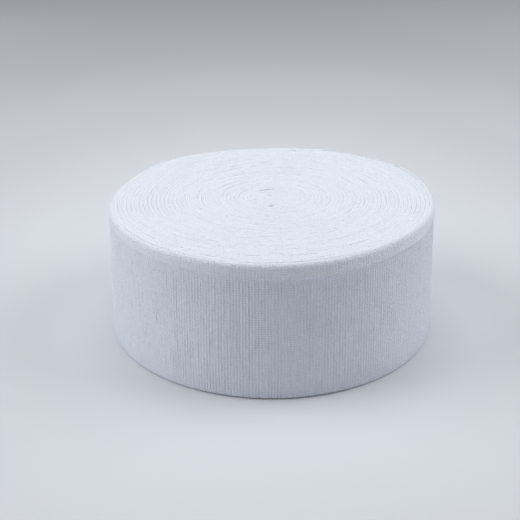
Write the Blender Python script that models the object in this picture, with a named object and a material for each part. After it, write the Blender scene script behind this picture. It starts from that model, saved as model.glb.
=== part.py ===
# Tubular support bandage wound into a roll, lying on its end.
# Metres, +Z up along the winding axis, origin in the middle of the underside.

import math
from collections import namedtuple

import bmesh
import bpy

MM = 0.001

# The bandage is a knitted tube laid flat: its flat width is the roll's height,
# and each turn is two layers of knit.
BANDAGE_WIDTH = 67.5 * MM
BANDAGE_LENGTH = 10.0
KNIT_THICKNESS = 1.1 * MM
TURN_THICKNESS = 2 * KNIT_THICKNESS
ROLL_RADIUS = math.sqrt(BANDAGE_LENGTH * TURN_THICKNESS / math.pi)

# The turns spread towards the foot: the share by which the roll is wider there than at its top.
FOOT_SPREAD = 0.029

# The cut outer end lies at the back. From there the cloth goes round towards growing azimuth,
# and inwards.
OUTER_END_AZIMUTH = math.radians(68)
SEGMENTS = 60

# The outermost turn stands by itself. Further in, one ridge of the solid takes in two turns of cloth.
TURNS_PER_RIDGE = 2
RIDGE_CIRCUITS = 18
OUTER_GROOVE = 0.6 * MM
RIDGE_GROOVE = 1.1 * MM
GROOVE_DEEPENS_OVER = 2.0

# A ridge's section, from its outer side inwards: two rounded shoulders and the groove at its inner side.
Row = namedtuple("Row", "across sunk")
RIDGE_SECTION = (
    Row(across=0.28, sunk=0.0),
    Row(across=0.72, sunk=0.0),
    Row(across=1.0, sunk=1.0),
)

# The eye, where winding began, lies a little off the middle and is slightly oval.
EYE_X = -1.0 * MM
EYE_Y = 0.6 * MM
EYE_OVAL = 0.10

# The outer turn's upper edge: how far it climbs above the end face, how far the bead below it bulges
# past the wall, and how far down the bead reaches. The turns beside it climb with it.
Rim = namedtuple("Rim", "azimuth rise bulge bead")
RIM = (
    Rim(azimuth=-150, rise=-0.4 * MM, bulge=0.4 * MM, bead=5.5 * MM),
    Rim(azimuth=-130, rise=-0.5 * MM, bulge=0.5 * MM, bead=5.5 * MM),
    Rim(azimuth=-118, rise=-0.2 * MM, bulge=0.5 * MM, bead=5.5 * MM),
    Rim(azimuth=-100, rise=-0.4 * MM, bulge=0.6 * MM, bead=6.0 * MM),
    Rim(azimuth=-84, rise=0.0 * MM, bulge=0.8 * MM, bead=6.3 * MM),
    Rim(azimuth=-62, rise=0.7 * MM, bulge=0.9 * MM, bead=6.3 * MM),
    Rim(azimuth=-40, rise=1.6 * MM, bulge=1.0 * MM, bead=5.8 * MM),
    Rim(azimuth=-12, rise=1.8 * MM, bulge=0.7 * MM, bead=3.4 * MM),
    Rim(azimuth=25, rise=3.6 * MM, bulge=0.5 * MM, bead=4.0 * MM),
    Rim(azimuth=52, rise=2.4 * MM, bulge=0.4 * MM, bead=5.0 * MM),
    Rim(azimuth=80, rise=0.2 * MM, bulge=0.0 * MM, bead=5.5 * MM),
    Rim(azimuth=98, rise=-0.3 * MM, bulge=0.1 * MM, bead=5.5 * MM),
    Rim(azimuth=115, rise=0.2 * MM, bulge=0.3 * MM, bead=5.5 * MM),
    Rim(azimuth=135, rise=1.5 * MM, bulge=0.4 * MM, bead=5.5 * MM),
    Rim(azimuth=160, rise=-0.7 * MM, bulge=0.4 * MM, bead=5.5 * MM),
    Rim(azimuth=185, rise=-0.4 * MM, bulge=0.4 * MM, bead=5.5 * MM),
)
RIM_REACH = 15.0 * MM

# The outermost turn has slipped a little below its neighbour.
# The slip fades out over a share of a circuit where the next turn begins.
SLIP = 0.25 * MM
SLIP_FADE = 0.12

# The bead's rounded top, as a share of its height, with the bulge that is there below it already,
# the height over which the wall comes back in below the bead, and the foot.
FOLD_SHARE = 0.55
FOLD_ANGLES = tuple(math.radians(angle) for angle in (65, 35, 0))
FOLD_BULGE = 0.35
BEAD_RETURN = 1.8 * MM
FOOT_HEIGHT = 1.2 * MM
FOOT_INSET = 0.9 * MM
FOOT_ROUNDING = 0.3

# The end face from the eye outwards: how far the turns stand proud there,
# and their tilt, which is high towards one azimuth.
Face = namedtuple("Face", "radius rise tilt high_azimuth")
FACE = (
    Face(radius=0 * MM, rise=0.1 * MM, tilt=0.1 * MM, high_azimuth=-90),
    Face(radius=7 * MM, rise=0.1 * MM, tilt=0.1 * MM, high_azimuth=-60),
    Face(radius=12 * MM, rise=0.0 * MM, tilt=0.15 * MM, high_azimuth=-30),
    Face(radius=20 * MM, rise=0.1 * MM, tilt=0.2 * MM, high_azimuth=30),
    Face(radius=30 * MM, rise=0.1 * MM, tilt=0.2 * MM, high_azimuth=120),
    Face(radius=42 * MM, rise=0.2 * MM, tilt=0.2 * MM, high_azimuth=200),
    Face(radius=54 * MM, rise=0.0 * MM, tilt=0.3 * MM, high_azimuth=20),
    Face(radius=68 * MM, rise=0.1 * MM, tilt=0.2 * MM, high_azimuth=-80),
    Face(radius=84 * MM, rise=0.0 * MM, tilt=0.0 * MM, high_azimuth=-80),
)

# Places round the eye where the first, loose turns leave a dip.
Dip = namedtuple("Dip", "azimuth radius spread depth")
DIPS = (
    Dip(azimuth=100, radius=10.5 * MM, spread=34, depth=0.5 * MM),
    Dip(azimuth=-88, radius=12.0 * MM, spread=22, depth=0.3 * MM),
    Dip(azimuth=190, radius=17.0 * MM, spread=25, depth=0.2 * MM),
)
DIP_WIDTH = 3.5 * MM

# The smooth core inside the innermost ridge, as shares of that ridge's inner radius.
CORE_RINGS = (0.78, 0.42)


def mix(start, end, share):
    return start + (end - start) * share


def between(rows, column, value):
    """The two rows that a value lies between, and the eased share of the way from one to the other."""
    for low, high in zip(rows, rows[1:]):
        start, end = getattr(low, column), getattr(high, column)
        if start <= value <= end:
            share = (value - start) / (end - start)
            return low, high, share * share * (3 - 2 * share)
    return rows[-1], rows[-1], 0


def rim_at(azimuth):
    """The outer turn's edge at one azimuth, as a row of the table."""
    first = RIM[0]
    degrees = (math.degrees(azimuth) - first.azimuth) % 360 + first.azimuth
    low, high, share = between(RIM + (first._replace(azimuth=first.azimuth + 360),), "azimuth", degrees)
    return Rim(*(mix(start, end, share) for start, end in zip(low, high)))


def face_height(radius, azimuth):
    """Height of the ridges' tops on the end face."""
    low, high, share = between(FACE, "radius", radius)
    tilts = [row.tilt * math.cos(azimuth - math.radians(row.high_azimuth)) for row in (low, high)]
    height = BANDAGE_WIDTH + mix(low.rise, high.rise, share) + mix(*tilts, share)
    to_rim = min(max(1 - (ROLL_RADIUS - radius) / RIM_REACH, 0), 1)
    height += rim_at(azimuth).rise * to_rim**2
    for dip in DIPS:
        turned = (math.degrees(azimuth) - dip.azimuth + 180) % 360 - 180
        across = (radius - dip.radius) / DIP_WIDTH
        height -= dip.depth * math.exp(-((turned / dip.spread) ** 2) - across**2)
    return height


def azimuth_at(circuit):
    return OUTER_END_AZIMUTH + 2 * math.pi * circuit


def boundary(circuit):
    """Radius of the winding's outer side, counted in circuits inwards from the outer end.

    It comes in by one turn in the first circuit, and by a whole ridge in each circuit from the third on.
    The first circuit's mean is ROLL_RADIUS, so it starts half a turn further out.
    """
    first = min(circuit, 1)
    second = min(max(circuit - 1, 0), 1)
    further = max(circuit - 2, 0)
    widening = (TURNS_PER_RIDGE - 1) / 2 * second**2
    turns = first + second + widening + TURNS_PER_RIDGE * further
    return ROLL_RADIUS + TURN_THICKNESS * (0.5 - turns)


def place(radius, azimuth, height):
    """A point of the winding.

    Turns nearer the eye are oval and centred on it, and all turns are wider lower down.
    """
    inward = max(1 - radius / ROLL_RADIUS, 0)
    oval = EYE_OVAL * inward**3
    radius *= 1 + FOOT_SPREAD * (0.5 - height / BANDAGE_WIDTH)
    return (
        EYE_X * inward**2 + radius * (1 + oval) * math.cos(azimuth),
        EYE_Y * inward**2 + radius * (1 - oval) * math.sin(azimuth),
        height,
    )


def ridge_radius_height(circuit, row):
    """Radius and height of one row of the ridge's section."""
    azimuth = azimuth_at(circuit)
    radius = mix(boundary(circuit), boundary(circuit + 1), row.across)
    groove = mix(OUTER_GROOVE, RIDGE_GROOVE, min(circuit / GROOVE_DEEPENS_OVER, 1))
    slipped = SLIP * min(max((1 + SLIP_FADE - circuit) / SLIP_FADE, 0), 1)
    return radius, face_height(radius, azimuth) - slipped - groove * row.sunk


def wall_column(circuit):
    """Points down the outer side at one azimuth, from the folded edge to the underside."""
    azimuth = azimuth_at(circuit)
    wall = boundary(circuit)
    edge, edge_height = ridge_radius_height(circuit, RIDGE_SECTION[0])
    rim = rim_at(azimuth)
    fold_end = wall + FOLD_BULGE * rim.bulge
    column = [
        (mix(edge, fold_end, math.cos(angle)), edge_height - FOLD_SHARE * rim.bead * (1 - math.sin(angle)))
        for angle in FOLD_ANGLES
    ]
    column += [
        (wall + rim.bulge, edge_height - rim.bead),
        (wall, edge_height - rim.bead - BEAD_RETURN),
        (wall, BANDAGE_WIDTH / 2),
        (wall, FOOT_HEIGHT),
        (wall - FOOT_ROUNDING * FOOT_INSET, FOOT_ROUNDING * FOOT_HEIGHT),
        (wall - FOOT_INSET, 0),
    ]
    return [place(radius, azimuth, height) for radius, height in column]


def join_rows(mesh, upper, lower):
    """Quads between two rows of points of the same length."""
    for i in range(len(upper) - 1):
        mesh.faces.new((upper[i], upper[i + 1], lower[i + 1], lower[i]))


def add_end_face(mesh):
    """The wound end: one long ridge that spirals in to the eye, each circuit sewn to the one inside it."""
    rows = []
    for row in RIDGE_SECTION:
        points = []
        for i in range(RIDGE_CIRCUITS * SEGMENTS + 1):
            circuit = i / SEGMENTS
            radius, height = ridge_radius_height(circuit, row)
            points.append(mesh.verts.new(place(radius, azimuth_at(circuit), height)))
        rows.append(points)
    for upper, lower in zip(rows, rows[1:]):
        join_rows(mesh, upper, lower)
    join_rows(mesh, rows[-1][:-SEGMENTS], rows[0][SEGMENTS:])
    return rows


def add_core(mesh, rows):
    """The small smooth core that the innermost circuit closes round."""
    outline = rows[-1][-SEGMENTS - 1 :]
    radius = boundary(RIDGE_CIRCUITS + 1)
    rings = []
    for share in CORE_RINGS:
        ring = []
        for i in range(SEGMENTS):
            azimuth = azimuth_at(i / SEGMENTS)
            height = face_height(share * radius, azimuth)
            ring.append(mesh.verts.new(place(share * radius, azimuth, height)))
        rings.append(ring + [ring[0]])
    for outer, inner in zip([outline] + rings, rings):
        join_rows(mesh, outer, inner)
    middle = mesh.verts.new(place(0, 0, face_height(0, 0)))
    for i in range(SEGMENTS):
        mesh.faces.new((rings[-1][i], rings[-1][i + 1], middle))
    inner_end = [row[-1] for row in rows]
    mesh.faces.new([outline[0]] + inner_end + [rings[0][0]])


def add_wall(mesh, rows):
    """The outer turn's side, its cut end and the flat underside."""
    columns = []
    for i in range(SEGMENTS + 1):
        points = wall_column(i / SEGMENTS)
        columns.append([rows[0][i]] + [mesh.verts.new(point) for point in points])
    for left, right in zip(columns, columns[1:]):
        join_rows(mesh, left, right)
    outer_end = [row[0] for row in rows[::-1]] + columns[0][1:]
    mesh.faces.new(outer_end + columns[-1][::-1])
    mesh.faces.new([column[-1] for column in columns])


def centre_on_box(mesh):
    """Puts the middle of the outline over the origin."""
    for axis in (0, 1):
        values = [vert.co[axis] for vert in mesh.verts]
        middle = (min(values) + max(values)) / 2
        for vert in mesh.verts:
            vert.co[axis] -= middle


def white_knit():
    """Matt white cotton knit."""
    material = bpy.data.materials.new("white_knit")
    material.use_nodes = True
    shader = material.node_tree.nodes["Principled BSDF"]
    shader.inputs["Base Color"].default_value = (0.80, 0.83, 0.89, 1)
    shader.inputs["Roughness"].default_value = 0.95
    shader.inputs["Metallic"].default_value = 0
    return material


def add_bandage_roll():
    mesh = bmesh.new()
    rows = add_end_face(mesh)
    add_core(mesh, rows)
    add_wall(mesh, rows)
    centre_on_box(mesh)
    bmesh.ops.recalc_face_normals(mesh, faces=mesh.faces)
    data = bpy.data.meshes.new("bandage_roll")
    mesh.to_mesh(data)
    mesh.free()
    data.shade_smooth()
    data.set_sharp_from_angle(angle=math.radians(55))
    data.materials.append(white_knit())
    roll = bpy.data.objects.new("bandage_roll", data)
    bpy.context.scene.collection.objects.link(roll)


for leftover in list(bpy.data.objects):
    bpy.data.objects.remove(leftover)
add_bandage_roll()
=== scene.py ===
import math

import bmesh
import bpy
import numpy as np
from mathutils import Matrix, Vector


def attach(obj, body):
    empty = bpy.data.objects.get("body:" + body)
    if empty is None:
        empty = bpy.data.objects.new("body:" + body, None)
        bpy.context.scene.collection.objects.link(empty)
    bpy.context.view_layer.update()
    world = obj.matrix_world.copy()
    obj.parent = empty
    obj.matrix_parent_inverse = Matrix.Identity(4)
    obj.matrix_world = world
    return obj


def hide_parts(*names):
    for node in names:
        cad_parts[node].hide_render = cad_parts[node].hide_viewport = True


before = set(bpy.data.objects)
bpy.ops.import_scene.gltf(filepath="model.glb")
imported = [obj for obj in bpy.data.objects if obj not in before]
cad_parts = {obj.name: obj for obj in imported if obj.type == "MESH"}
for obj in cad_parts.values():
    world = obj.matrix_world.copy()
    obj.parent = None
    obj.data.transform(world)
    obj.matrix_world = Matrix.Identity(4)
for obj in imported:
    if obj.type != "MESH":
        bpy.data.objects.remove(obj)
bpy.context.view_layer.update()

# Tubular support bandage, wound up and lying on its end.
# The cloth is one knitted tube, pressed flat and rolled, so every turn is two layers of knit.
# Lengths in the dictionaries are millimetres, but metres in the studio's, and angles are degrees.
# The meshes are in metres.

mm = 0.001

cloth = {
    "flatWidth": 67.5,
    "turnThickness": 2.2,
    "rollRadius": math.sqrt(10000 * 2.2 / math.pi),   # mean of the outer turn, for 10 m of tube
    "footSpread": 0.029,      # share by which the roll is wider at its foot than at its top
    "smallestRadius": 0.1,    # middle of the cloth where the winding starts
    "pivot": 0.05,            # the innermost half turn closes round the axis down to this radius
    "outerEnd": 68,           # azimuth of the cut end, at the back
    "clearance": 0.012,       # air left between one turn and the next
    "ribPitch": 1.4,
    "ribDepth": 0.27,
    "grooveNarrow": 1.6,      # higher for narrower grooves between broader ribs
    "sharpAngle": 65,
}

eye = {"x": -1.0, "y": 0.6, "oval": 0.10}   # the winding's middle lies a little off the roll's

# How the outer turn's upper edge sits, going round the roll.
rim = {
    "azimuth": (-150, -130, -118, -100, -84, -62, -40, -12, 25, 52, 80, 98, 115, 135, 160, 185, 210),
    # climb above the end face, which the turns beside it share
    "rise": (-0.4, -0.5, -0.2, -0.4, 0.0, 0.7, 1.6, 1.8, 3.6, 2.4, 0.2, -0.3, 0.2, 1.5, -0.7, -0.4, -0.4),
    # bead standing out from the wall, its height, and the height of its rounded top
    "bulge": (0.4, 0.5, 0.5, 0.6, 0.8, 0.9, 1.0, 0.7, 0.5, 0.4, 0.0, 0.1, 0.3, 0.4, 0.4, 0.4, 0.4),
    "bead": (5.5, 5.5, 5.5, 6.0, 6.3, 6.3, 5.8, 3.4, 4.0, 5.0, 5.5, 5.5, 5.5, 5.5, 5.5, 5.5, 5.5),
    "fold": (2.6, 2.4, 4.0, 2.6, 3.6, 3.4, 3.2, 1.8, 2.0, 2.4, 2.4, 2.4, 2.4, 2.4, 2.4, 2.4, 2.6),
    # how deep the knit ribs of the wall are, as a share
    "ribs": (1.0, 1.1, 1.25, 1.5, 1.6, 1.3, 0.8, 0.7, 0.9, 1.0, 1.1, 1.1, 1.1, 1.2, 1.3, 1.4, 1.4),
    "reach": 15.0,            # how far inwards the climb is felt
    "slip": 0.1,              # how far the outer turn has slipped below the next one
}

# How high the turns stand on the end face, from the middle outwards.
face = {
    "radius": (0, 7, 12, 20, 30, 42, 54, 68, 84),
    "rise": (0.1, 0.1, 0.0, 0.1, 0.1, 0.2, 0.0, 0.1, 0.0),
    # it leans by this much, up towards the high side
    "tilt": (0.1, 0.1, 0.15, 0.2, 0.2, 0.2, 0.3, 0.2, 0.0),
    "highSide": (-90, -60, -30, 30, 120, 200, 20, -80, -80),
}

# Places by the middle where the first loose turns leave a dip.
dips = {
    "azimuth": (100, -88, 190),
    "radius": (10.5, 12.0, 17.0),
    "spread": (34, 22, 25),
    "depth": (0.28, 0.12, 0.05),
    "width": 2.6,
}

# Places where a folded edge stands off its neighbour and leaves a small dark gap.
gaps = {
    "azimuth": (101, -89, 178, 6, 62, 236, 148),
    "radius": (10.9, 14.2, 16.6, 18.4, 20.8, 23.0, 27.4),
    "spread": (26, 4, 12, 11, 14, 10, 9),
    "share": (0.42, 0.4, 0.05, 0.05, 0.05, 0.05, 0.05),
    "reach": 0.9,             # how far across the turns a gap is felt
}

# Stretches of single turns that stand up from the end face or have sunk into it.
lifted = {
    "turn": (31, 33, 30, 31, 31, 32, 33, 29, 28, 26, 24, 21, 18, 15, 12, 9, 5, 3),
    "azimuth": (271, 101, 185, 350, 140, 40, 260, 8, 190, 175, 10, 182, 200, 350, 20, 170, 300, 80),
    "spread": (4, 24, 26, 24, 30, 25, 30, 22, 20, 20, 18, 14, 14, 12, 12, 9, 9, 9),
    "lift": (
        -1.0, -0.24, 0.1, 0.1, -0.06, 0.06, -0.06, 0.1, -0.1,
        0.1, 0.1, -0.1, 0.1, -0.1, 0.1, -0.1, 0.1, -0.1,
    ),
}


def drift(position, seed):
    # smooth random wander between -1 and 1, with a new value at every whole number
    count = 4096
    knots = np.random.default_rng(seed).uniform(-1, 1, count)
    low = np.floor(position).astype(int)
    share = position - low
    share = share * share * (3 - 2 * share)
    return knots[low % count] * (1 - share) + knots[(low + 1) % count] * share


def patches(x, y, seed):
    # the same in two directions
    count = 256
    knots = np.random.default_rng(seed).uniform(-1, 1, (count, count))
    lowX, lowY = np.floor(x).astype(int), np.floor(y).astype(int)
    shareX, shareY = x - lowX, y - lowY
    shareX = shareX * shareX * (3 - 2 * shareX)
    shareY = shareY * shareY * (3 - 2 * shareY)
    hereX, hereY, nextX, nextY = lowX % count, lowY % count, (lowX + 1) % count, (lowY + 1) % count
    near = knots[hereX, hereY] * (1 - shareX) + knots[nextX, hereY] * shareX
    far = knots[hereX, nextY] * (1 - shareX) + knots[nextX, nextY] * shareX
    return near * (1 - shareY) + far * shareY


def eased(table, key, column, position):
    # value of a column at a position, eased between the table's rows
    places, values = np.array(table[key], float), np.array(table[column], float)
    row = np.clip(np.searchsorted(places, position, side="right") - 1, 0, len(places) - 2)
    share = np.clip((position - places[row]) / (places[row + 1] - places[row]), 0, 1)
    return values[row] + (values[row + 1] - values[row]) * share * share * (3 - 2 * share)


def rimAt(column, azimuth):
    first = rim["azimuth"][0]
    return eased(rim, "azimuth", column, (azimuth - first) % 360 + first)


def faceHeight(radius, azimuth):
    height = cloth["flatWidth"] + eased(face, "radius", "rise", radius)
    row = np.clip(np.searchsorted(face["radius"], radius, side="right") - 1, 0, len(face["radius"]) - 2)
    low, high = np.array(face["radius"], float)[row], np.array(face["radius"], float)[row + 1]
    share = np.clip((radius - low) / (high - low), 0, 1)
    share = share * share * (3 - 2 * share)
    tilt, side = np.array(face["tilt"], float), np.radians(face["highSide"])
    turned = np.radians(azimuth)
    height = height + tilt[row] * np.cos(turned - side[row]) * (1 - share)
    height = height + tilt[row + 1] * np.cos(turned - side[row + 1]) * share
    toRim = np.clip(1 - (cloth["rollRadius"] - radius) / rim["reach"], 0, 1)
    height = height + rimAt("rise", azimuth) * toRim**2
    columns = zip(dips["azimuth"], dips["radius"], dips["spread"], dips["depth"])
    for middle, radiusHere, spread, depth in columns:
        turnedAway = away(azimuth, middle) / spread
        height = height - depth * np.exp(-(turnedAway**2) - ((radius - radiusHere) / dips["width"]) ** 2)
    return height


def turnedAt(along):
    # how far round the cloth has gone, in radians, at a length from its outer end
    start, perRadian = cloth["rollRadius"], cloth["turnThickness"] / (2 * math.pi)
    return (start - np.sqrt(start**2 - 2 * perRadian * along)) / perRadian


def middleRadius(turned):
    return cloth["rollRadius"] - cloth["turnThickness"] * turned / (2 * math.pi)


def place(radius, azimuth, height):
    # turns nearer the eye are oval and centred on it
    inward = np.clip(1 - radius / cloth["rollRadius"], 0, None)
    oval = eye["oval"] * inward**3
    radius = radius * (1 + cloth["footSpread"] * (0.5 - height / cloth["flatWidth"]))
    x = eye["x"] * inward**2 + radius * (1 + oval) * np.cos(np.radians(azimuth))
    y = eye["y"] * inward**2 + radius * (1 - oval) * np.sin(np.radians(azimuth))
    return np.stack([x, y, height], -1)


def away(azimuth, middle):
    # degrees from one azimuth to another, the shorter way round
    return (azimuth - middle + 180) % 360 - 180


def gapShare(radius, azimuth):
    share = 0
    columns = zip(gaps["azimuth"], gaps["radius"], gaps["spread"], gaps["share"])
    for middle, radiusHere, spread, size in columns:
        turnedAway = away(azimuth, middle) / spread
        near = np.exp(-(turnedAway**2) - ((radius - radiusHere) / gaps["reach"]) ** 2)
        share = np.maximum(share, size * near)
    return share


def turnLift(turned, azimuth):
    lift = 0
    columns = zip(lifted["turn"], lifted["azimuth"], lifted["spread"], lifted["lift"])
    for turn, middle, spread, size in columns:
        # the stretch lies in that turn only, where its azimuth comes by
        centre = turn + ((middle - cloth["outerEnd"]) % 360) / 360
        lift = lift + size * np.exp(-(((turned / (2 * math.pi) - centre) * 360 / spread) ** 2))
    return lift


def ribGroove(ribs):
    # 1 in the groove between two ribs, 0 on a rib's back
    return (0.5 + 0.5 * np.cos(2 * np.pi * ribs)) ** cloth["grooveNarrow"]


def pushIn(across, height, depth):
    # moves a section's points inwards, square to its line
    goAcross = np.roll(across, -1, 1) - np.roll(across, 1, 1)
    goHeight = np.roll(height, -1, 1) - np.roll(height, 1, 1)
    size = np.hypot(goAcross, goHeight)
    return across + depth * goHeight / size, height - depth * goAcross / size


def clothPiece(name, rings, along, flatLength):
    # skins a row of closed rings, with the cloth's own length and width as its UV map
    stations, around = rings.shape[:2]
    index = np.arange(stations * around).reshape(stations, around)
    here, ahead = index[:-1], index[1:]
    quads = np.stack([here, np.roll(here, -1, 1), np.roll(ahead, -1, 1), ahead], -1).reshape(-1, 4)
    mesh = bpy.data.meshes.new(name)
    caps = [index[0].tolist(), index[-1][::-1].tolist()]
    mesh.from_pydata(rings.reshape(-1, 3) * mm, [], quads.tolist() + caps)

    steps = np.linalg.norm(np.roll(rings, -1, 1) - rings, axis=2)
    across = np.concatenate([np.zeros((stations, 1)), np.cumsum(steps, 1)], 1)
    u = np.stack([along[:-1], along[:-1], along[1:], along[1:]], -1)[:, None].repeat(around, 1)
    v = np.stack([across[:-1, :-1], across[:-1, 1:], across[1:, 1:], across[1:, :-1]], -1)
    corners = np.concatenate([np.stack([u, v], -1).reshape(-1, 2), np.zeros((2 * around, 2))])
    mesh.uv_layers.new(name="clothMap").uv.foreach_set("vector", (corners * mm).astype(np.float32).ravel())

    work = bmesh.new()
    work.from_mesh(mesh)
    bmesh.ops.recalc_face_normals(work, faces=work.faces)
    work.to_mesh(mesh)
    work.free()
    mesh.shade_smooth()
    mesh.set_sharp_from_angle(angle=math.radians(cloth["sharpAngle"]))
    piece = bpy.data.objects.new(name, mesh)
    bpy.context.scene.collection.objects.link(piece)
    mesh.materials.append(whiteKnit)
    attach(piece, "root")
    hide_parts("bandage_roll")
    print(name, len(mesh.polygons) * 2, "triangles,", round(flatLength * mm, 3), "m of tube")
    return piece


def knitMaterial(look):
    material = bpy.data.materials.new("whiteKnit")
    material.use_nodes = True
    nodes, links = material.node_tree.nodes, material.node_tree.links
    shader = nodes["Principled BSDF"]
    shader.inputs["Metallic"].default_value = 0
    shader.inputs["Sheen Weight"].default_value = look["sheen"]
    shader.inputs["Sheen Roughness"].default_value = look["sheenRoughness"]

    def calculate(kind, first, second=None, third=None):
        node = nodes.new("ShaderNodeMath")
        node.operation = kind
        for socket, value in zip(node.inputs, (first, second, third)):
            if value is None:
                continue
            if isinstance(value, (int, float)):
                socket.default_value = value
            else:
                links.new(value, socket)
        return node.outputs[0]

    def noise(vector, scale, detail=2.0, roughness=0.5):
        node = nodes.new("ShaderNodeTexNoise")
        node.inputs["Scale"].default_value = scale
        node.inputs["Detail"].default_value = detail
        node.inputs["Roughness"].default_value = roughness
        links.new(vector, node.inputs["Vector"])
        return node.outputs["Fac"]

    clothMap = nodes.new("ShaderNodeUVMap")
    clothMap.uv_map = "clothMap"
    split = nodes.new("ShaderNodeSeparateXYZ")
    links.new(clothMap.outputs["UV"], split.inputs[0])
    onPiece = nodes.new("ShaderNodeTexCoord").outputs["Object"]

    # chevrons of stitches up each rib
    fromGroove = calculate("PINGPONG", split.outputs["X"], cloth["ribPitch"] * mm / 2)
    climb = calculate("MULTIPLY_ADD", fromGroove, look["stitchSlope"], split.outputs["Y"])
    wave = calculate("SINE", calculate("MULTIPLY", climb, 2 * math.pi / (look["stitchHeight"] * mm)))
    stitches = calculate("MULTIPLY_ADD", wave, 0.5, 0.5)

    # yarn that runs lighter and darker for a few stitches along a rib
    stretch = nodes.new("ShaderNodeMapping")
    streakSize = (look["streakWidth"] * mm, look["streakLength"] * mm)
    stretch.inputs["Scale"].default_value = (1 / streakSize[0], 1 / streakSize[1], 1)
    links.new(clothMap.outputs["UV"], stretch.inputs["Vector"])
    streaks = noise(stretch.outputs["Vector"], 1.0, detail=2.0, roughness=0.6)
    fluff = noise(onPiece, 1 / (look["fluffSize"] * mm), detail=3.0, roughness=0.65)
    tufts = noise(onPiece, 1 / (look["tuftSize"] * mm), detail=1.0)
    tufts = calculate("MAXIMUM", calculate("SUBTRACT", tufts, look["tuftStart"]), 0)
    clouds = noise(onPiece, 1 / (look["cloudSize"] * mm), detail=2.0)

    # each pattern makes the yarn a little lighter or darker round the same mean
    patterns = {"streakTone": streaks, "cloudTone": clouds, "stitchTone": stitches, "fluffTone": fluff}
    tone = 1 - sum(look[strength] for strength in patterns) / 2
    for strength, pattern in patterns.items():
        tone = calculate("MULTIPLY_ADD", pattern, look[strength], tone)
    tone = calculate("MULTIPLY_ADD", tufts, look["tuftTone"], tone)
    colour = nodes.new("ShaderNodeVectorMath")
    colour.operation = "SCALE"
    colour.inputs[0].default_value = look["colour"]
    links.new(tone, colour.inputs["Scale"])
    links.new(colour.outputs[0], shader.inputs["Base Color"])
    roughness = calculate("MULTIPLY_ADD", fluff, look["roughSpread"], look["roughness"])
    links.new(roughness, shader.inputs["Roughness"])

    height = calculate("MULTIPLY", fluff, look["fluffRelief"])
    height = calculate("MULTIPLY_ADD", tufts, look["tuftRelief"], height)
    height = calculate("MULTIPLY_ADD", stitches, look["stitchRelief"], height)
    bump = nodes.new("ShaderNodeBump")
    bump.inputs["Distance"].default_value = mm
    links.new(height, bump.inputs["Height"])
    links.new(bump.outputs["Normal"], shader.inputs["Normal"])
    return material


whiteKnit = knitMaterial({
    "colour": (0.765, 0.81, 0.885),
    "roughness": 0.82,
    "roughSpread": 0.16,
    "sheen": 0.2,
    "sheenRoughness": 0.5,
    "stitchHeight": 1.15,
    "stitchSlope": 0.75,
    "stitchRelief": 0.07,
    "stitchTone": 0.14,
    "streakWidth": 0.9,
    "streakLength": 9.0,
    "streakTone": 0.12,
    "fluffSize": 0.6,
    "fluffRelief": 0.16,
    "fluffTone": 0.38,
    "tuftSize": 1.1,
    "tuftStart": 0.54,        # higher for fewer tufts
    "tuftRelief": 1.4,
    "tuftTone": 0.46,
    "cloudSize": 14.0,
    "cloudTone": 0.03,
})
print("knit material ready")

# The outer turn, whose whole side shows.
outerTurn = {
    "stationsPerRib": 4,
    "foldPoints": 14,
    "beadPoints": 10,
    "wallPoints": 16,
    "footPoints": 8,
    "crestInset": 0.9,        # share of the half thickness that the crest lies inwards
    "innerFold": 0.12,        # height of the rounding on the crest's inner side
    "beadTop": 0.35,          # share of the bulge that is there already below the rounding
    "beadReturn": 1.8,        # height over which the wall comes back in below the bead
    "footHeight": 1.3,
    "footInset": 1.2,
    "slipFade": 0.12,         # share of a circuit over which the slipped edge meets its neighbour
    # each wander is how much, and over which length
    "edgeWander": 0.12,
    "edgeLength": 23,
    "fineWander": 0.05,
    "fineLength": 4.1,
    "bulgeWander": 0.15,
    "bulgeLength": 17,
    "beadWander": 0.06,
    "beadLength": 11,
    "ribWander": 0.45,
    "ribLength": 7,
    "sway": 0.22,
    "swayLength": 38,
    "swayHeight": 26,
    "swayFrom": 12,           # height at which the wall sways fully
    "flatness": 2.2,          # of the folded edge, rounder when lower
    "beadSmooth": 0.6,        # share by which the ribs are flatter on the bead and over the fold
    "beadFade": 1.7,          # heights of the bead over which they get there
    "endThins": 1.6,          # the cut end is pressed thinner over this length
    "endShare": 0.4,          # by this share
    "cutWander": 0.3,         # unevenness of the cut
    "cutLength": 2.5,
    "cutHeight": 1.9,
    "cutStart": 7,            # where in its random wander the cut begins
    "lip": (0.12, 0.16),      # place of the cut edge's inner rim, and its share of the thickness
    "slit": (1.4, 0.02),      # how far one can look between the two layers, and how wide it is there
    "slitInset": 0.5,
    "slitFoot": 1.2,
    "slitTop": 1.6,
}


def foldLine(points, flatness):
    # a fold's outline from its inner side (-1, 0) over the crest (0, 1) to its outer side (1, 0)
    angle = np.linspace(math.pi, 0, points)
    across = np.sign(np.cos(angle)) * np.abs(np.cos(angle)) ** (2 / flatness)
    up = np.abs(np.sin(angle)) ** (2 / flatness)
    across[np.abs(np.cos(angle)) < 1e-6] = 0
    up[[0, -1]] = 0
    return across[None], up[None]


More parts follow.
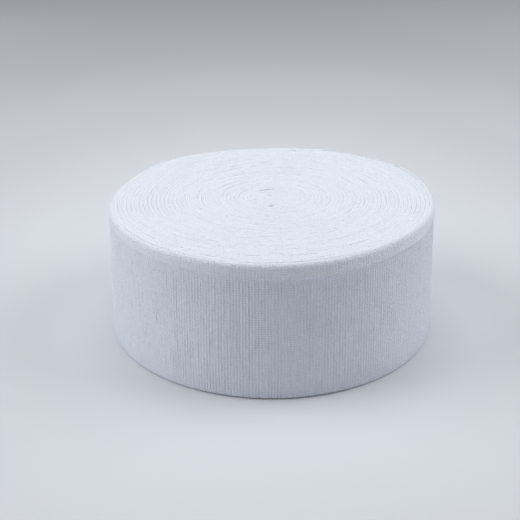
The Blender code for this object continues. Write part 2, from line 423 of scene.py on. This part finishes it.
def outerTurnRings(along, thinned, slit):
    shape = outerTurn
    turned = turnedAt(along)[:, None]
    circuit = turned / (2 * math.pi)
    azimuth = cloth["outerEnd"] + np.degrees(turned)
    middle = middleRadius(turned)
    half = cloth["turnThickness"] / 2 - cloth["clearance"]
    ribs = along[:, None] / cloth["ribPitch"]

    slipped = rim["slip"] * np.clip((1 + shape["slipFade"] - circuit) / shape["slipFade"], 0, 1)
    crest = faceHeight(middle, azimuth) - slipped
    crest = crest + shape["edgeWander"] * drift(along[:, None] / shape["edgeLength"], 11)
    crest = crest + shape["fineWander"] * drift(along[:, None] / shape["fineLength"], 12)
    bulge = 1 + shape["bulgeWander"] * drift(along[:, None] / shape["bulgeLength"], 13)
    bulge = rimAt("bulge", azimuth) * bulge
    bead = 1 + shape["beadWander"] * drift(along[:, None] / shape["beadLength"], 17)
    bead = rimAt("bead", azimuth) * bead
    fold = rimAt("fold", azimuth)

    # up the inner side, over the folded edge, down the bead and the wall, and round the foot
    across, up = foldLine(shape["foldPoints"], shape["flatness"])
    crestAt = -shape["crestInset"] * half
    outer = across > 0
    outerWidth = half + shape["beadTop"] * bulge - crestAt
    foldAcross = crestAt + across * np.where(outer, outerWidth, half + crestAt)
    foldUp = crest - np.where(outer, fold, shape["innerFold"]) * (1 - up)
    beadEnd = bead + shape["beadReturn"]
    beadDown = fold + (beadEnd - fold) * np.linspace(0, 1, shape["beadPoints"] + 1)[None, 1:]
    wallSteps = np.linspace(0, 1, shape["wallPoints"] + 2)[None, 1:-1]
    wallDown = beadEnd + (crest - shape["footHeight"] - beadEnd) * wallSteps
    below = np.concatenate([beadDown, wallDown], 1)
    wallUp = crest - below
    out = np.clip((below - fold) / (bead - fold), 0, 1)
    back = np.clip((below - bead) / shape["beadReturn"], 0, 1)
    bulging = (shape["beadTop"] + (1 - shape["beadTop"]) * out) * (1 - back * back * (3 - 2 * back))
    wallAcross = half + bulge * bulging
    turn = np.linspace(0, math.pi, shape["footPoints"])[None]
    footAcross = np.where(np.cos(turn) > 0, half - shape["footInset"] * (1 - np.cos(turn)), 0)
    footAcross = np.where(np.cos(turn) <= 0, -half + shape["footInset"] * (1 + np.cos(turn)), footAcross)
    footUp = shape["footHeight"] * (1 - np.sin(turn))
    rows = len(along)
    sideAcross = np.full((rows, 1), -half)
    sideUp = np.full((rows, 1), cloth["flatWidth"] / 2)
    acrossAll = np.concatenate([sideAcross, foldAcross, wallAcross, np.repeat(footAcross, rows, 0)], 1)
    upAll = np.concatenate([sideUp, foldUp, wallUp, np.repeat(footUp, rows, 0)], 1)

    # knit ribs, each a little deeper or flatter than the last and uneven up the wall
    depth = cloth["ribDepth"] * rimAt("ribs", azimuth)
    unevenRibs = patches(ribs + 0 * upAll, upAll / shape["ribLength"], 14)
    depth = depth * (1 + shape["ribWander"] * unevenRibs)
    onBead = np.clip(shape["beadFade"] - (crest - upAll) / bead, 0, 1)
    ribbed = depth * ribGroove(ribs) * (1 - shape["beadSmooth"] * onBead)
    # the first two points lie inside the roll and stay plain
    inside = np.concatenate([np.ones(2), np.zeros(acrossAll.shape[1] - 2)])
    acrossAll, upAll = pushIn(acrossAll, upAll, ribbed * (1 - inside)[None])
    wallShare = np.clip(upAll / shape["swayFrom"], 0, 1)
    swaying = along[:, None] / shape["swayLength"] + 0 * upAll
    swaying = patches(swaying, upAll / shape["swayHeight"], 15)
    acrossAll = acrossAll + shape["sway"] * wallShare * swaying
    upAll = np.clip(upAll, 0, None)

    # the cut end: pressed thin against the next turn, with the slit between the two layers
    centre = np.where(slit[:, None] > 0, shape["slitInset"] - half, -half)
    acrossAll = centre + (acrossAll - centre) * thinned[:, None]
    slitUp = np.clip(upAll, shape["slitFoot"], crest - shape["slitTop"])
    upAll = np.where(slit[:, None] > 0, slitUp, upAll)
    fromCut = np.exp(-((along[:, None] / shape["cutLength"]) ** 2))
    cut = shape["cutWander"] * fromCut * drift(upAll / shape["cutHeight"] + shape["cutStart"], 16)
    azimuth = azimuth + np.degrees(cut / middle)
    return place(middle + acrossAll, azimuth, upAll)


lengths = np.linspace(0, 600, 6001)   # from the cut end, past the end of the first circuit
outerLength = float(np.interp(2 * math.pi, turnedAt(lengths), lengths))
outerCount = round(outerLength / cloth["ribPitch"] * outerTurn["stationsPerRib"])
outerAlong = np.linspace(0, outerLength, outerCount + 1)
thinned = 1 - outerTurn["endShare"] * np.exp(-outerAlong / outerTurn["endThins"] * 2)
outerAlong = np.concatenate([[outerTurn["slit"][0], outerTurn["lip"][0]], outerAlong])
thinned = np.concatenate([[outerTurn["slit"][1], outerTurn["lip"][1]], thinned])
slit = np.array([1, 1] + [0] * (outerCount + 1))
outerRings = outerTurnRings(outerAlong, thinned, slit)

# The turns inside it, of which the folded edges show on the end face.
innerTurns = {
    "stationsPerRib": 3,
    "foldPoints": 9,
    "footPoints": 5,
    "foldHeight": 0.32,
    "flatness": 5.0,
    # how loose the folds are, which rounds their edges: a mean, patches of the face, and breaks along it
    "loose": 0.2,
    "patchLoose": 0.75,
    "patchSize": 15,
    "patchStart": 40,
    "breakLoose": 0.4,
    "breakLength": 6.0,
    "leastLoose": 0.05,
    "tightRadius": 6,         # from here outwards the folds begin to be loose
    "tightFade": 8,
    "tightLoose": 0.1,
    "footHeight": 0.9,
    "footLift": 0.12,
    "footLength": 33,
    "turnWander": 0.02,
    "edgeWander": 0.045,
    "edgeLength": 12,
    "fineWander": 0.03,
    "fineLength": 5.3,
    "ribLift": 0.03,          # each rib stands a little higher or lower where it goes over the fold
    "ribShare": 0.15,
    "ribWander": 0.8,
    "plainRadius": 1.5,       # the ribs begin here and are whole this much further out
    "plainFade": 6,
    "gapDepth": 5.0,          # a gap between two turns closes this far down
    "tightLength": 14.0,
    "tightStations": 60,
    "tightEase": 1.5,         # higher for more of them near the very middle
    "pieces": 4,
}


def innerRings(along):
    shape = innerTurns
    turned = turnedAt(along)[:, None]
    azimuth = cloth["outerEnd"] + np.degrees(turned)
    middle = middleRadius(turned)
    half = cloth["turnThickness"] / 2 - cloth["clearance"]
    ribs = along[:, None] / cloth["ribPitch"]
    flat = place(middle, azimuth, 0 * middle)
    flat = flat / shape["patchSize"] + shape["patchStart"]
    loose = shape["loose"] + shape["patchLoose"] * patches(flat[..., 0], flat[..., 1], 21)
    loose = loose + shape["breakLoose"] * drift(along[:, None] / shape["breakLength"], 28)
    outward = (middle - shape["tightRadius"]) / shape["tightFade"]
    loose = np.clip(loose, shape["leastLoose"], 1) * np.clip(outward, shape["tightLoose"], 1)

    crest = turnLift(turned, azimuth) + shape["turnWander"] * drift(turned / (2 * math.pi), 22)
    crest = crest + shape["edgeWander"] * drift(along[:, None] / shape["edgeLength"], 23)
    crest = crest + shape["fineWander"] * drift(along[:, None] / shape["fineLength"], 24)
    crest = crest + shape["ribLift"] * drift(ribs, 27)
    across, up = foldLine(shape["foldPoints"], shape["flatness"])
    inward = np.minimum(half, middle - cloth["pivot"])
    foldAcross = np.where(across > 0, across * half, across * inward)
    # a fold's top slopes with the end face
    crest = crest + faceHeight(middle + foldAcross, azimuth)
    foldUp = crest - shape["foldHeight"] * loose * (1 - up)
    crest = crest.max(1, keepdims=True)
    turn = np.linspace(0, math.pi, shape["footPoints"])[None]
    footLift = shape["footLift"] * (1 + drift(along[:, None] / shape["footLength"], 25))
    footUp = footLift + shape["footHeight"] * (1 - np.sin(turn))
    rows = len(along)
    sides = np.full((rows, 1), cloth["flatWidth"] / 2)
    footAcross = np.where(np.cos(turn) > 0, half * np.cos(turn), inward * np.cos(turn))
    acrossAll = [part + 0 * sides for part in (-inward, foldAcross, half, footAcross)]
    acrossAll = np.concatenate(acrossAll, 1)
    upAll = np.concatenate([sides, foldUp, sides, footUp], 1)
    unevenRibs = patches(ribs, middle / cloth["turnThickness"], 26)
    depth = cloth["ribDepth"] * shape["ribShare"] * (1 + shape["ribWander"] * unevenRibs)
    depth = depth * np.clip((middle - shape["plainRadius"]) / shape["plainFade"], 0, 1)
    acrossAll, upAll = pushIn(acrossAll, upAll, depth * ribGroove(ribs) + 0 * upAll)
    high = np.clip(1 - (crest - upAll) / shape["gapDepth"], 0, 1)
    # only the outer layer draws in, so a gap opens on that side alone
    acrossAll = np.where(acrossAll > 0, acrossAll * (1 - gapShare(middle, azimuth) * high), acrossAll)
    return place(middle + acrossAll, azimuth, upAll)


wholeLength = math.pi * (cloth["rollRadius"] ** 2 - cloth["smallestRadius"] ** 2) / cloth["turnThickness"]
innerCount = round((wholeLength - outerLength) / cloth["ribPitch"] * innerTurns["stationsPerRib"])
innerAlong = np.linspace(outerLength, wholeLength, innerCount + 1)
# the tight turns in the middle need more stations
tight = innerTurns["tightLength"]
tightSteps = np.linspace(1, 0, innerTurns["tightStations"] + 1)
tightAlong = wholeLength - tight * tightSteps ** innerTurns["tightEase"]
innerAlong = np.concatenate([innerAlong[innerAlong < wholeLength - tight], tightAlong])
innerCount = len(innerAlong) - 1
allRings = innerRings(innerAlong)

# the roll's outline is centred over the origin
outline = outerRings[..., :2].reshape(-1, 2)
shift = np.append((outline.min(0) + outline.max(0)) / 2, 0)
clothPiece("outerTurn", outerRings - shift, outerAlong, outerLength)
cuts = np.linspace(0, innerCount, innerTurns["pieces"] + 1).round().astype(int)
for number, (start, end) in enumerate(zip(cuts, cuts[1:]), 1):
    piece = slice(start, end + 1)
    length = innerAlong[end] - innerAlong[start]
    clothPiece("innerTurns" + str(number), allRings[piece] - shift, innerAlong[piece], length)
print("roll wound from", round(wholeLength * mm, 2), "m of tube")

studio = {
    "floorRadius": 12.0,
    "floorDrop": 0.00002,                     # so that it doesn't touch the roll's foot
    "floorRoughness": 0.9,
    "floorShine": 0.2,
    "floorColour": (0.652, 0.675, 0.716),
    # painted light: the floor's colour is paler round the roll and darker further off, a pool of light and
    # its falloff painted into the floor
    "paintedLightMiddle": 0.06,                      # the middle of the painted pool of light lies this far behind the roll's middle
    "floorReach": 1.25,                       # distance at which the last share below is reached
    "floorPlaces": (0.14, 0.32, 0.52, 0.88),  # shares of that distance
    "floorPaintedLight": (1.0, 0.86, 0.77, 0.85),   # and how much painted light the floor has there, as a share of its colour
    "floorNarrow": 1.45,                      # the painted light falls off sooner to the left and right
    "horizon": (0.36, 0.37, 0.40),
    "ceiling": (0.135, 0.14, 0.15),
    "skyPlaces": (0.02, 0.25),                # heights at which these two are reached, as shares
    "lights": {
        "overhead": {"place": (0.0, 0.19, 1.45), "size": 1.0, "power": 7.6},
        "left": {"place": (-1.1, 0.0, 0.85), "size": 1.1, "power": 10.8},
        "right": {"place": (1.1, 0.15, 0.85), "size": 1.1, "power": 9.9},
        "front": {"place": (-0.6, -1.15, 0.32), "size": 0.8, "power": 1.2},
    },
    "aim": (0.0, 0.0, 0.034),
}


def studioFloor():
    bpy.ops.object.select_all(action="DESELECT")
    bpy.ops.mesh.primitive_circle_add(vertices=128, radius=studio["floorRadius"], fill_type="NGON")
    floor = bpy.context.object
    floor.name = "floor"
    for point in floor.data.vertices:
        point.co.z = -studio["floorDrop"]
    material = bpy.data.materials.new("paleFloor")
    material.use_nodes = True
    nodes, links = material.node_tree.nodes, material.node_tree.links
    shader = nodes["Principled BSDF"]
    shader.inputs["Roughness"].default_value = studio["floorRoughness"]
    shader.inputs["Specular IOR Level"].default_value = studio["floorShine"]
    coordinates = nodes.new("ShaderNodeTexCoord")
    stretch = nodes.new("ShaderNodeMapping")
    reach = studio["floorReach"]
    stretch.inputs["Scale"].default_value = (studio["floorNarrow"] / reach, 1 / reach, 1)
    stretch.inputs["Location"].default_value = (0, -studio["paintedLightMiddle"] / reach, 0)
    links.new(coordinates.outputs["Object"], stretch.inputs["Vector"])
    distance = nodes.new("ShaderNodeVectorMath")
    distance.operation = "LENGTH"
    links.new(stretch.outputs["Vector"], distance.inputs[0])
    # painted light: the ramp darkens the floor's colour with distance from a spot behind the roll, a
    # painted pool of light and its falloff
    ramp = nodes.new("ShaderNodeValToRGB")
    ramp.color_ramp.interpolation = "EASE"
    stops = ramp.color_ramp.elements
    for position in studio["floorPlaces"][1:-1]:
        stops.new(position)
    for stop, position, share in zip(stops, studio["floorPlaces"], studio["floorPaintedLight"]):
        stop.position = position
        stop.color = (*[share * value for value in studio["floorColour"]], 1)
    links.new(distance.outputs["Value"], ramp.inputs["Fac"])
    links.new(ramp.outputs["Color"], shader.inputs["Base Color"])
    floor.data.materials.append(material)


def studioLights():
    for name, values in studio["lights"].items():
        bpy.ops.object.light_add(type="AREA", location=values["place"])
        lamp = bpy.context.object
        lamp.name = name
        lamp.data.shape = "DISK"
        lamp.data.size = values["size"]
        lamp.data.energy = values["power"]
        fromAim = Vector(values["place"]) - Vector(studio["aim"])
        lamp.rotation_euler = fromAim.to_track_quat("Z", "Y").to_euler()
    world = bpy.context.scene.world or bpy.data.worlds.new("studio")
    bpy.context.scene.world = world
    world.use_nodes = True
    nodes, links = world.node_tree.nodes, world.node_tree.links
    split = nodes.new("ShaderNodeSeparateXYZ")
    links.new(nodes.new("ShaderNodeTexCoord").outputs["Generated"], split.inputs[0])
    ramp = nodes.new("ShaderNodeValToRGB")
    colours = (studio["horizon"], studio["ceiling"])
    for stop, position, colour in zip(ramp.color_ramp.elements, studio["skyPlaces"], colours):
        stop.position = position
        stop.color = (*colour, 1)
    links.new(split.outputs["Z"], ramp.inputs["Fac"])
    background = nodes["Background"]
    links.new(ramp.outputs["Color"], background.inputs["Color"])
    background.inputs["Strength"].default_value = 1


view = {
    "elevation": 24.43,
    "distance": 480.6,
    "target": (0, 0, 34),
    "left": 5.82,      # the roll lies this far to the right of the view's middle, at its distance
    "below": 2.33,     # and this far above it
    "roll": 0.41,
    "lens": 62.92,
}


def addCamera():
    raised = math.radians(view["elevation"])
    back = Vector((0, -math.cos(raised), math.sin(raised)))
    up = Vector((0, math.sin(raised), math.cos(raised)))
    target = Vector(view["target"]) * mm
    aim = target - Vector((view["left"] * mm, 0, 0)) - up * view["below"] * mm
    lensPoint = target + back * view["distance"] * mm
    bpy.ops.object.camera_add(location=lensPoint)
    camera = bpy.context.object
    turn = (lensPoint - aim).to_track_quat("Z", "Y").to_euler()
    camera.rotation_euler = turn
    camera.rotation_euler.rotate_axis("Z", math.radians(-view["roll"]))
    camera.data.lens = view["lens"]
    camera.data.sensor_width = 36
    camera.data.clip_start = 0.01
    camera.data.clip_end = 100
    bpy.context.scene.camera = camera


studioFloor()
studioLights()
addCamera()
bpy.context.scene.view_settings.view_transform = "Standard"
print("studio ready")
